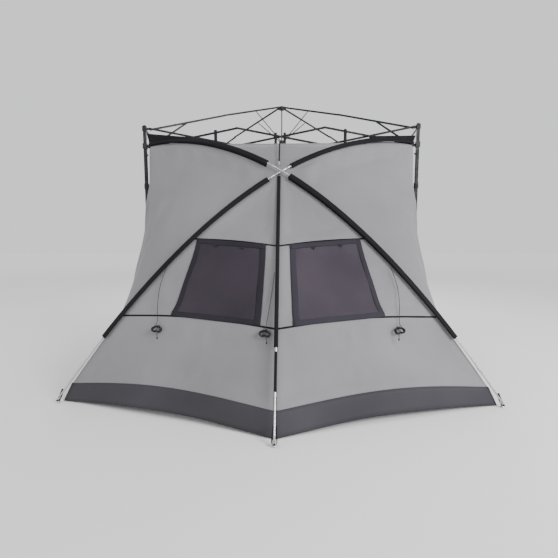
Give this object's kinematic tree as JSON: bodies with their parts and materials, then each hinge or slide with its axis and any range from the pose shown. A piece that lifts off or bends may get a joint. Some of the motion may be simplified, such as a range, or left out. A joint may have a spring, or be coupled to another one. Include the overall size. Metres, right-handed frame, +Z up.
{
  "type": "pop up ground blind",
  "caption": "Free-standing pop-up field shelter: folding scissor roof frame on telescoping legs, grey cover with a half-dome front on crossed arch poles and dark mesh windows.",
  "frame": {"origin": "on the ground, below the middle of the whole part", "axes": "+Z up, +Y from the front nose to the rear wall, +X to the right seen from the front"},
  "size_m": [3.044, 3.082, 2.558],
  "materials": {
    "black_steel": "black powder coat, satin",
    "black_plastic": "moulded nylon, matt",
    "bare_pole": "bright drawn tube",
    "cover_cloth": "coated polyester taffeta",
    "skirt_cloth": "dark coated polyester",
    "window_mesh": "fine dark mesh",
    "guy_cord": "braided black cord",
    "webbing": "woven black webbing"
  },
  "bodies": {
    "shelter": {"cover": "cover_cloth", "skirt": "skirt_cloth", "window_left": "window_mesh", "window_right": "window_mesh", "arch_pole_a": "bare_pole", "arch_pole_b": "bare_pole", "nose_pole": "bare_pole", "pole_feet": "bare_pole", "webbing_straps": "webbing", "guy_line_left": "guy_cord", "guy_line_centre": "guy_cord", "guy_line_right": "guy_cord", "hank_left": "guy_cord", "hank_centre": "guy_cord", "hank_right": "guy_cord"},
    "hub": {"hub": "black_plastic"},
    "inner_ridge_fl": {"inner_ridge_fl": "black_steel"},
    "outer_ridge_fl": {"outer_ridge_fl": "black_steel"},
    "leg_fl": {"leg_fl": "black_steel"},
    "lower_leg_fl": {"lower_leg_fl": "black_steel"},
    "inner_ridge_fr": {"inner_ridge_fr": "black_steel"},
    "outer_ridge_fr": {"outer_ridge_fr": "black_steel"},
    "leg_fr": {"leg_fr": "black_steel"},
    "lower_leg_fr": {"lower_leg_fr": "black_steel"},
    "inner_ridge_bl": {"inner_ridge_bl": "black_steel"},
    "outer_ridge_bl": {"outer_ridge_bl": "black_steel"},
    "leg_bl": {"leg_bl": "black_steel"},
    "lower_leg_bl": {"lower_leg_bl": "black_steel"},
    "inner_ridge_br": {"inner_ridge_br": "black_steel"},
    "outer_ridge_br": {"outer_ridge_br": "black_steel"},
    "leg_br": {"leg_br": "black_steel"},
    "lower_leg_br": {"lower_leg_br": "black_steel"},
    "front_bar_1u": {"front_bar_1u": "black_steel"},
    "front_bar_1v": {"front_bar_1v": "black_steel"},
    "front_bar_2u": {"front_bar_2u": "black_steel"},
    "slider_fl": {"slider_fl": "black_plastic"},
    "front_bar_3v": {"front_bar_3v": "black_steel"},
    "front_bar_3u": {"front_bar_3u": "black_steel"},
    "front_bar_2v": {"front_bar_2v": "black_steel"},
    "slider_fr": {"slider_fr": "black_plastic"},
    "rear_bar_1u": {"rear_bar_1u": "black_steel"},
    "rear_bar_1v": {"rear_bar_1v": "black_steel"},
    "rear_bar_2u": {"rear_bar_2u": "black_steel"},
    "slider_bl": {"slider_bl": "black_plastic"},
    "rear_bar_3v": {"rear_bar_3v": "black_steel"},
    "rear_bar_3u": {"rear_bar_3u": "black_steel"},
    "rear_bar_2v": {"rear_bar_2v": "black_steel"},
    "slider_br": {"slider_br": "black_plastic"},
    "left_bar_1u": {"left_bar_1u": "black_steel"},
    "left_bar_1v": {"left_bar_1v": "black_steel"},
    "left_bar_2v": {"left_bar_2v": "black_steel"},
    "left_bar_2u": {"left_bar_2u": "black_steel"},
    "right_bar_1u": {"right_bar_1u": "black_steel"},
    "right_bar_1v": {"right_bar_1v": "black_steel"},
    "right_bar_2v": {"right_bar_2v": "black_steel"},
    "right_bar_2u": {"right_bar_2u": "black_steel"},
    "ridge_strut_fl": {"ridge_strut_fl": "black_steel"},
    "ridge_strut_fr": {"ridge_strut_fr": "black_steel"},
    "ridge_strut_bl": {"ridge_strut_bl": "black_steel"},
    "ridge_strut_br": {"ridge_strut_br": "black_steel"}
  },
  "joints": [
    {"name": "frame_fold", "type": "slide", "parent": "shelter", "child": "hub", "axis": [0, 0, -1], "range_m": [0, 0.54123], "deforming": ["cover", "skirt", "window_left", "window_right", "arch_pole_a", "arch_pole_b", "nose_pole", "webbing_straps", "guy_line_left", "guy_line_centre", "guy_line_right", "hank_left", "hank_centre", "hank_right"]},
    {"name": "ridge_hub_fl", "type": "hinge", "parent": "hub", "child": "inner_ridge_fl", "pos_m": [-0.03744, 0.68604, 2.544], "axis": [0.5547, -0.8321, 0], "range_deg": [0, 67.12]},
    {"name": "ridge_elbow_fl", "type": "hinge", "parent": "inner_ridge_fl", "child": "outer_ridge_fl", "pos_m": [-0.56247, 0.33602, 2.349], "axis": [-0.5547, 0.8321, 0], "range_deg": [0, 169.98]},
    {"name": "leg_head_fl", "type": "hinge", "parent": "outer_ridge_fl", "child": "leg_fl", "pos_m": [-1.1584, -0.06127, 2.1], "axis": [0.5547, -0.8321, 0], "range_deg": [0, 103.46]},
    {"name": "leg_length_fl", "type": "slide", "parent": "leg_fl", "child": "lower_leg_fl", "axis": [0, 0, 1], "range_m": [0, 0.75]},
    {"name": "ridge_hub_fr", "type": "hinge", "parent": "hub", "child": "inner_ridge_fr", "pos_m": [0.03744, 0.68604, 2.544], "axis": [0.5547, 0.8321, 0], "range_deg": [0, 67.12]},
    {"name": "ridge_elbow_fr", "type": "hinge", "parent": "inner_ridge_fr", "child": "outer_ridge_fr", "pos_m": [0.56247, 0.33602, 2.349], "axis": [-0.5547, -0.8321, 0], "range_deg": [0, 169.98]},
    {"name": "leg_head_fr", "type": "hinge", "parent": "outer_ridge_fr", "child": "leg_fr", "pos_m": [1.1584, -0.06127, 2.1], "axis": [0.5547, 0.8321, 0], "range_deg": [0, 103.46]},
    {"name": "leg_length_fr", "type": "slide", "parent": "leg_fr", "child": "lower_leg_fr", "axis": [0, 0, 1], "range_m": [0, 0.75]},
    {"name": "ridge_hub_bl", "type": "hinge", "parent": "hub", "child": "inner_ridge_bl", "pos_m": [-0.03744, 0.73596, 2.544], "axis": [-0.5547, -0.8321, 0], "range_deg": [0, 67.12]},
    {"name": "ridge_elbow_bl", "type": "hinge", "parent": "inner_ridge_bl", "child": "outer_ridge_bl", "pos_m": [-0.56247, 1.08598, 2.349], "axis": [0.5547, 0.8321, 0], "range_deg": [0, 169.98]},
    {"name": "leg_head_bl", "type": "hinge", "parent": "outer_ridge_bl", "child": "leg_bl", "pos_m": [-1.1584, 1.48327, 2.1], "axis": [-0.5547, -0.8321, 0], "range_deg": [0, 103.46]},
    {"name": "leg_length_bl", "type": "slide", "parent": "leg_bl", "child": "lower_leg_bl", "axis": [0, 0, 1], "range_m": [0, 0.75]},
    {"name": "ridge_hub_br", "type": "hinge", "parent": "hub", "child": "inner_ridge_br", "pos_m": [0.03744, 0.73596, 2.544], "axis": [-0.5547, 0.8321, 0], "range_deg": [0, 67.12]},
    {"name": "ridge_elbow_br", "type": "hinge", "parent": "inner_ridge_br", "child": "outer_ridge_br", "pos_m": [0.56247, 1.08598, 2.349], "axis": [0.5547, -0.8321, 0], "range_deg": [0, 169.98]},
    {"name": "leg_head_br", "type": "hinge", "parent": "outer_ridge_br", "child": "leg_br", "pos_m": [1.1584, 1.48327, 2.1], "axis": [-0.5547, 0.8321, 0], "range_deg": [0, 103.46]},
    {"name": "leg_length_br", "type": "slide", "parent": "leg_br", "child": "lower_leg_br", "axis": [0, 0, 1], "range_m": [0, 0.75]},
    {"name": "front_pivot_1u", "type": "hinge", "parent": "leg_fl", "child": "front_bar_1u", "pos_m": [-1.155, -0.089, 2.1], "axis": [0, 1, 0], "range_deg": [0, 71.58]},
    {"name": "front_cross_1", "type": "hinge", "parent": "front_bar_1u", "child": "front_bar_1v", "pos_m": [-0.77, -0.089, 2.025], "axis": [0, -1, 0], "range_deg": [0, 142.55]},
    {"name": "front_knee_2u", "type": "hinge", "parent": "front_bar_1v", "child": "front_bar_2u", "pos_m": [-0.385, -0.089, 2.1], "axis": [0, 1, 0], "range_deg": [0, 142.55]},
    {"name": "slider_pivot_fl", "type": "hinge", "parent": "front_bar_1v", "child": "slider_fl", "pos_m": [-1.155, -0.089, 1.95], "axis": [0, 1, 0], "range_deg": [0, 71.58]},
    {"name": "front_pivot_3v", "type": "hinge", "parent": "leg_fr", "child": "front_bar_3v", "pos_m": [1.155, -0.089, 2.1], "axis": [0, -1, 0], "range_deg": [0, 71.58]},
    {"name": "front_cross_3", "type": "hinge", "parent": "front_bar_3v", "child": "front_bar_3u", "pos_m": [0.77, -0.089, 2.025], "axis": [0, 1, 0], "range_deg": [0, 142.55]},
    {"name": "front_knee_2v", "type": "hinge", "parent": "front_bar_3u", "child": "front_bar_2v", "pos_m": [0.385, -0.089, 2.1], "axis": [0, -1, 0], "range_deg": [0, 142.55]},
    {"name": "slider_pivot_fr", "type": "hinge", "parent": "front_bar_3u", "child": "slider_fr", "pos_m": [1.155, -0.089, 1.95], "axis": [0, -1, 0], "range_deg": [0, 71.58]},
    {"name": "rear_pivot_1u", "type": "hinge", "parent": "leg_bl", "child": "rear_bar_1u", "pos_m": [-1.155, 1.511, 2.1], "axis": [0, 1, 0], "range_deg": [0, 71.58]},
    {"name": "rear_cross_1", "type": "hinge", "parent": "rear_bar_1u", "child": "rear_bar_1v", "pos_m": [-0.77, 1.511, 2.025], "axis": [0, -1, 0], "range_deg": [0, 142.55]},
    {"name": "rear_knee_2u", "type": "hinge", "parent": "rear_bar_1v", "child": "rear_bar_2u", "pos_m": [-0.385, 1.511, 2.1], "axis": [0, 1, 0], "range_deg": [0, 142.55]},
    {"name": "slider_pivot_bl", "type": "hinge", "parent": "rear_bar_1v", "child": "slider_bl", "pos_m": [-1.155, 1.511, 1.95], "axis": [0, 1, 0], "range_deg": [0, 71.58]},
    {"name": "rear_pivot_3v", "type": "hinge", "parent": "leg_br", "child": "rear_bar_3v", "pos_m": [1.155, 1.511, 2.1], "axis": [0, -1, 0], "range_deg": [0, 71.58]},
    {"name": "rear_cross_3", "type": "hinge", "parent": "rear_bar_3v", "child": "rear_bar_3u", "pos_m": [0.77, 1.511, 2.025], "axis": [0, 1, 0], "range_deg": [0, 142.55]},
    {"name": "rear_knee_2v", "type": "hinge", "parent": "rear_bar_3u", "child": "rear_bar_2v", "pos_m": [0.385, 1.511, 2.1], "axis": [0, -1, 0], "range_deg": [0, 142.55]},
    {"name": "slider_pivot_br", "type": "hinge", "parent": "rear_bar_3u", "child": "slider_br", "pos_m": [1.155, 1.511, 1.95], "axis": [0, -1, 0], "range_deg": [0, 71.58]},
    {"name": "left_pivot_1u", "type": "hinge", "parent": "leg_fl", "child": "left_bar_1u", "pos_m": [-1.2, -0.059, 2.1], "axis": [-1, 0, 0], "range_deg": [0, 71.58]},
    {"name": "left_cross_1", "type": "hinge", "parent": "left_bar_1u", "child": "left_bar_1v", "pos_m": [-1.2, 0.326, 2.025], "axis": [1, 0, 0], "range_deg": [0, 142.55]},
    {"name": "left_pivot_2v", "type": "hinge", "parent": "leg_bl", "child": "left_bar_2v", "pos_m": [-1.2, 1.481, 2.1], "axis": [1, 0, 0], "range_deg": [0, 71.58]},
    {"name": "left_cross_2", "type": "hinge", "parent": "left_bar_2v", "child": "left_bar_2u", "pos_m": [-1.2, 1.096, 2.025], "axis": [-1, 0, 0], "range_deg": [0, 142.55]},
    {"name": "right_pivot_1u", "type": "hinge", "parent": "leg_fr", "child": "right_bar_1u", "pos_m": [1.2, -0.059, 2.1], "axis": [-1, 0, 0], "range_deg": [0, 71.58]},
    {"name": "right_cross_1", "type": "hinge", "parent": "right_bar_1u", "child": "right_bar_1v", "pos_m": [1.2, 0.326, 2.025], "axis": [1, 0, 0], "range_deg": [0, 142.55]},
    {"name": "right_pivot_2v", "type": "hinge", "parent": "leg_br", "child": "right_bar_2v", "pos_m": [1.2, 1.481, 2.1], "axis": [1, 0, 0], "range_deg": [0, 71.58]},
    {"name": "right_cross_2", "type": "hinge", "parent": "right_bar_2v", "child": "right_bar_2u", "pos_m": [1.2, 1.096, 2.025], "axis": [-1, 0, 0], "range_deg": [0, 142.55]},
    {"name": "strut_foot_fl", "type": "hinge", "parent": "slider_fl", "child": "ridge_strut_fl", "pos_m": [-1.1584, -0.06127, 1.95], "axis": [0.5547, -0.8321, 0], "range_deg": [0, 46.84]},
    {"name": "strut_foot_fr", "type": "hinge", "parent": "slider_fr", "child": "ridge_strut_fr", "pos_m": [1.1584, -0.06127, 1.95], "axis": [0.5547, 0.8321, 0], "range_deg": [0, 46.84]},
    {"name": "strut_foot_bl", "type": "hinge", "parent": "slider_bl", "child": "ridge_strut_bl", "pos_m": [-1.1584, 1.48327, 1.95], "axis": [-0.5547, -0.8321, 0], "range_deg": [0, 46.84]},
    {"name": "strut_foot_br", "type": "hinge", "parent": "slider_br", "child": "ridge_strut_br", "pos_m": [1.1584, 1.48327, 1.95], "axis": [-0.5547, 0.8321, 0], "range_deg": [0, 46.84]}
  ],
  "couplings": [
    {"joint": "ridge_hub_fl", "follows": "frame_fold", "rad_per_m": 2.145},
    {"joint": "ridge_elbow_fl", "follows": "frame_fold", "rad_per_m": 5.462},
    {"joint": "leg_head_fl", "follows": "frame_fold", "rad_per_m": 3.317},
    {"joint": "ridge_hub_fr", "follows": "frame_fold", "rad_per_m": 2.145},
    {"joint": "ridge_elbow_fr", "follows": "frame_fold", "rad_per_m": 5.462},
    {"joint": "leg_head_fr", "follows": "frame_fold", "rad_per_m": 3.317},
    {"joint": "ridge_hub_bl", "follows": "frame_fold", "rad_per_m": 2.145},
    {"joint": "ridge_elbow_bl", "follows": "frame_fold", "rad_per_m": 5.462},
    {"joint": "leg_head_bl", "follows": "frame_fold", "rad_per_m": 3.317},
    {"joint": "ridge_hub_br", "follows": "frame_fold", "rad_per_m": 2.145},
    {"joint": "ridge_elbow_br", "follows": "frame_fold", "rad_per_m": 5.462},
    {"joint": "leg_head_br", "follows": "frame_fold", "rad_per_m": 3.317},
    {"joint": "front_pivot_1u", "follows": "frame_fold", "rad_per_m": 2.2888},
    {"joint": "front_cross_1", "follows": "frame_fold", "rad_per_m": 4.5776},
    {"joint": "front_knee_2u", "follows": "frame_fold", "rad_per_m": 4.5776},
    {"joint": "slider_pivot_fl", "follows": "frame_fold", "rad_per_m": 2.2888},
    {"joint": "front_pivot_3v", "follows": "frame_fold", "rad_per_m": 2.2888},
    {"joint": "front_cross_3", "follows": "frame_fold", "rad_per_m": 4.5776},
    {"joint": "front_knee_2v", "follows": "frame_fold", "rad_per_m": 4.5776},
    {"joint": "slider_pivot_fr", "follows": "frame_fold", "rad_per_m": 2.2888},
    {"joint": "rear_pivot_1u", "follows": "frame_fold", "rad_per_m": 2.2888},
    {"joint": "rear_cross_1", "follows": "frame_fold", "rad_per_m": 4.5776},
    {"joint": "rear_knee_2u", "follows": "frame_fold", "rad_per_m": 4.5776},
    {"joint": "slider_pivot_bl", "follows": "frame_fold", "rad_per_m": 2.2888},
    {"joint": "rear_pivot_3v", "follows": "frame_fold", "rad_per_m": 2.2888},
    {"joint": "rear_cross_3", "follows": "frame_fold", "rad_per_m": 4.5776},
    {"joint": "rear_knee_2v", "follows": "frame_fold", "rad_per_m": 4.5776},
    {"joint": "slider_pivot_br", "follows": "frame_fold", "rad_per_m": 2.2888},
    {"joint": "left_pivot_1u", "follows": "frame_fold", "rad_per_m": 2.2888},
    {"joint": "left_cross_1", "follows": "frame_fold", "rad_per_m": 4.5776},
    {"joint": "left_pivot_2v", "follows": "frame_fold", "rad_per_m": 2.2888},
    {"joint": "left_cross_2", "follows": "frame_fold", "rad_per_m": 4.5776},
    {"joint": "right_pivot_1u", "follows": "frame_fold", "rad_per_m": 2.2888},
    {"joint": "right_cross_1", "follows": "frame_fold", "rad_per_m": 4.5776},
    {"joint": "right_pivot_2v", "follows": "frame_fold", "rad_per_m": 2.2888},
    {"joint": "right_cross_2", "follows": "frame_fold", "rad_per_m": 4.5776},
    {"joint": "strut_foot_fl", "follows": "frame_fold", "rad_per_m": 1.4911},
    {"joint": "strut_foot_fr", "follows": "frame_fold", "rad_per_m": 1.4911},
    {"joint": "strut_foot_bl", "follows": "frame_fold", "rad_per_m": 1.4911},
    {"joint": "strut_foot_br", "follows": "frame_fold", "rad_per_m": 1.4911}
  ]
}
